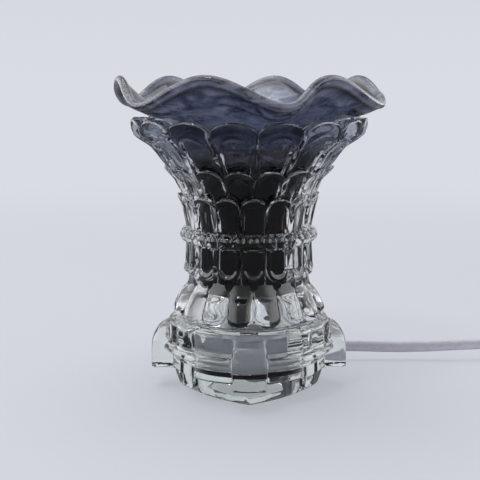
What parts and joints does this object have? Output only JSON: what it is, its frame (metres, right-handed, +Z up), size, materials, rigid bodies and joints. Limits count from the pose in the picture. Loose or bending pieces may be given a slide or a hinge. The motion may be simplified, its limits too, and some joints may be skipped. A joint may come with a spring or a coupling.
{
  "type": "electric fragrance lamp",
  "caption": "Electric fragrance lamp: ruffled smoked glass sleeve in a pressed clear glass vase on a glass base with a bulb, in-line dimmer and plug.",
  "frame": {"origin": "on the floor, under the middle of the glass base", "axes": "+Z up along the axis of vase and bulb; -Y to the front; +X to the right, the way the cord runs"},
  "size_m": [0.3386, 0.1182, 0.1405],
  "materials": {
    "clear_glass": "pressed, fire polished",
    "smoked_glass": "blown, smoke grey with a faint lustre",
    "dish_glass": "blown, clear",
    "bulb_glass": "clear, thin",
    "grey_metal": "satin grey lacquer",
    "black_plastic": "moulded, matt",
    "brass": "bright drawn",
    "zinc_steel": "zinc plated",
    "phenolic": "moulded phenolic",
    "lead_insulation": "smooth",
    "cord_plastic": "smooth, slight sheen",
    "white_plastic": "fine spark texture",
    "wheel_plastic": "moulded",
    "nickel_cap": "nickel plated",
    "tip_insulator": "black vitreous glass",
    "tungsten": "drawn wire",
    "circuit_board": "solder mask",
    "pad_silicone": "clear silicone"
  },
  "bodies": {
    "base": {"glass_base": "clear_glass", "foot_pads": "pad_silicone", "cover_plate": "black_plastic", "holder_cup": "grey_metal", "threaded_rod": "brass", "rod_nuts": "zinc_steel", "socket_body": "phenolic", "socket_shell": "brass", "socket_contact": "brass", "terminal_screws": "zinc_steel", "inner_leads": "lead_insulation", "cord_relief": "cord_plastic", "cord_lamp_side": "cord_plastic", "dimmer_base": "white_plastic", "dimmer_cover": "white_plastic", "dimmer_board": "circuit_board", "dimmer_screws": "zinc_steel", "dimmer_reliefs": "white_plastic", "cord_to_coil": "cord_plastic", "cord_coil": "cord_plastic", "cord_to_plug": "cord_plastic", "plug_body": "cord_plastic", "plug_blades": "brass"},
    "vase": {"pressed_vase": "clear_glass"},
    "bowl": {"ruffled_sleeve": "smoked_glass"},
    "dish": {"oil_dish": "dish_glass"},
    "bulb": {"bulb_envelope": "bulb_glass", "bulb_cap": "nickel_cap", "bulb_tip": "tip_insulator", "bulb_stem": "bulb_glass", "bulb_filament": "tungsten"},
    "wheel": {"dimmer_wheel": "wheel_plastic"}
  },
  "joints": [
    {"name": "vase_lift", "type": "slide", "parent": "base", "child": "vase", "axis": [0, 0, 1], "range_m": [0, 0.12]},
    {"name": "bowl_lift", "type": "slide", "parent": "vase", "child": "bowl", "axis": [0, 0, 1], "range_m": [0, 0.11]},
    {"name": "dish_lift", "type": "slide", "parent": "bowl", "child": "dish", "axis": [0, 0, 1], "range_m": [0, 0.06]},
    {"name": "bulb_screw", "type": "hinge", "parent": "base", "child": "bulb", "pos_m": [0, 0, 0.046], "axis": [0, 0, 1], "range_deg": [0, 1440]},
    {"name": "wheel_turn", "type": "hinge", "parent": "base", "child": "wheel", "pos_m": [0.16, 0.0342, 0.0085], "axis": [0, 0, 1], "range_deg": [-135, 135]}
  ]
}
